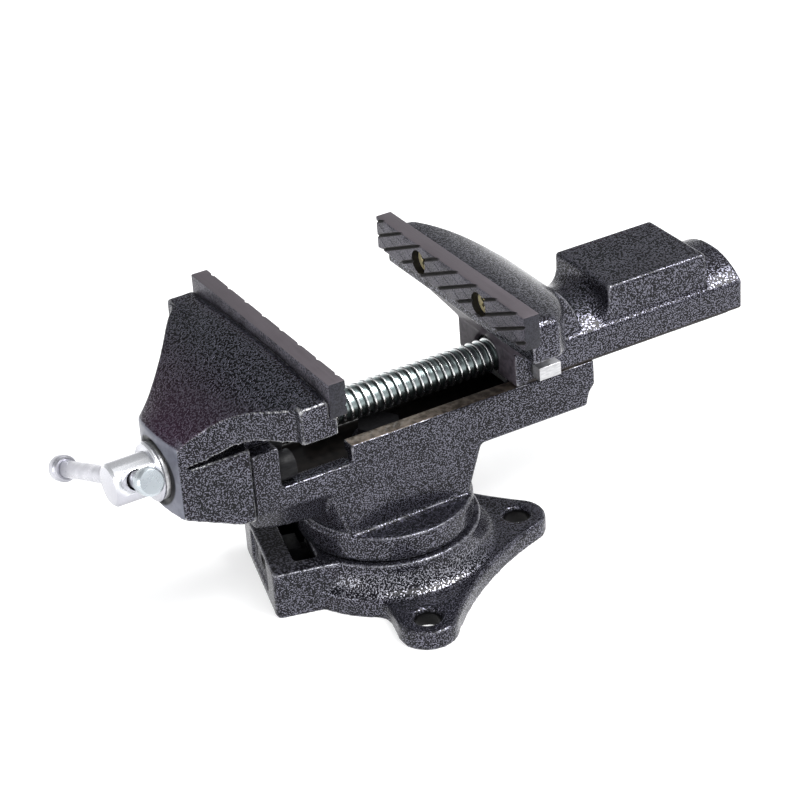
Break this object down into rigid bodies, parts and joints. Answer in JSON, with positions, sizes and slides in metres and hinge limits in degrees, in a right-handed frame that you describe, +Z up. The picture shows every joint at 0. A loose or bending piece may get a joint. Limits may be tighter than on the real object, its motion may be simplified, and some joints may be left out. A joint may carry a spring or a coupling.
{
  "type": "swivel bench vise",
  "caption": "Bench vise with a fixed front jaw, a sliding rear jaw with anvil, a screw with sliding handle, and a swivel base that bolts down.",
  "frame": {"origin": "where the swivel axis meets the bench, at the base's underside", "axes": "+X from the handle towards the anvil, along the screw; +Z up; +Y across the jaws, to the left when seen from the handle's end"},
  "size_m": [0.3127, 0.1613, 0.137],
  "materials": {
    "hammered_casting": "black and silver hammered enamel on cast iron",
    "plain_casting": "dark enamel on cast iron, plain",
    "hardened_steel": "dark ground tool steel",
    "bright_zinc": "bright zinc plate on turned steel",
    "yellow_zinc": "yellow passivated zinc screws",
    "bare_steel": "bare milled steel",
    "black_steel": "black oxide socket screws and nuts"
  },
  "bodies": {
    "base": {"swivel_base": "hammered_casting", "lock_nut": "black_steel"},
    "swivel_body": {"vise_body": "hammered_casting", "front_jaw": "hammered_casting", "front_jaw_plate": "hardened_steel", "front_plate_screws": "yellow_zinc", "front_jaw_bolts": "black_steel", "thrust_washer": "bare_steel", "pivot_bolt": "black_steel", "pivot_plate": "plain_casting", "pivot_nut": "bare_steel"},
    "jaw_slider": {"sliding_jaw": "hammered_casting", "rear_jaw_plate": "hardened_steel", "rear_plate_screws": "yellow_zinc", "spindle_nut": "bare_steel", "nut_keys": "bare_steel", "keeper_strips": "black_steel", "keeper_screws": "black_steel"},
    "spindle_body": {"spindle": "bright_zinc", "retaining_collar": "black_steel", "collar_pin": "black_steel"},
    "handle": {"handle_bar": "bright_zinc", "handle_knob_near": "bright_zinc", "handle_knob_far": "bright_zinc"},
    "lock_shoe_body": {"lock_shoe": "bare_steel"},
    "lock_screw_body": {"lock_screw": "black_steel"}
  },
  "joints": [
    {"name": "swivel", "type": "hinge", "parent": "base", "child": "swivel_body", "pos_m": [0, 0, 0], "axis": [0, 0, 1], "continuous": true},
    {"name": "jaw_slide", "type": "slide", "parent": "swivel_body", "child": "jaw_slider", "axis": [1, 0, 0], "range_m": [-0.0862, 0.0085]},
    {"name": "spindle_turn", "type": "hinge", "parent": "swivel_body", "child": "spindle_body", "pos_m": [-0.1205, 0, 0.086], "axis": [1, 0, 0], "range_deg": [-766, 7760]},
    {"name": "handle_slide", "type": "slide", "parent": "spindle_body", "child": "handle", "axis": [0, 0.9205, -0.3907], "range_m": [-0.0695, 0.0058]},
    {"name": "lock_shoe_slide", "type": "slide", "parent": "base", "child": "lock_shoe_body", "axis": [-0.9669, 0.255, 0], "range_m": [0, 0.0015]},
    {"name": "lock_screw_turn", "type": "hinge", "parent": "lock_shoe_body", "child": "lock_screw_body", "pos_m": [-0.04834, 0.01277, 0.0125], "axis": [-0.9669, 0.255, 0], "range_deg": [-1, 434]}
  ],
  "couplings": [
    {"joint": "spindle_turn", "follows": "jaw_slide", "rad_per_m": -1570.8},
    {"joint": "lock_screw_turn", "follows": "lock_shoe_slide", "rad_per_m": 5026.5}
  ]
}
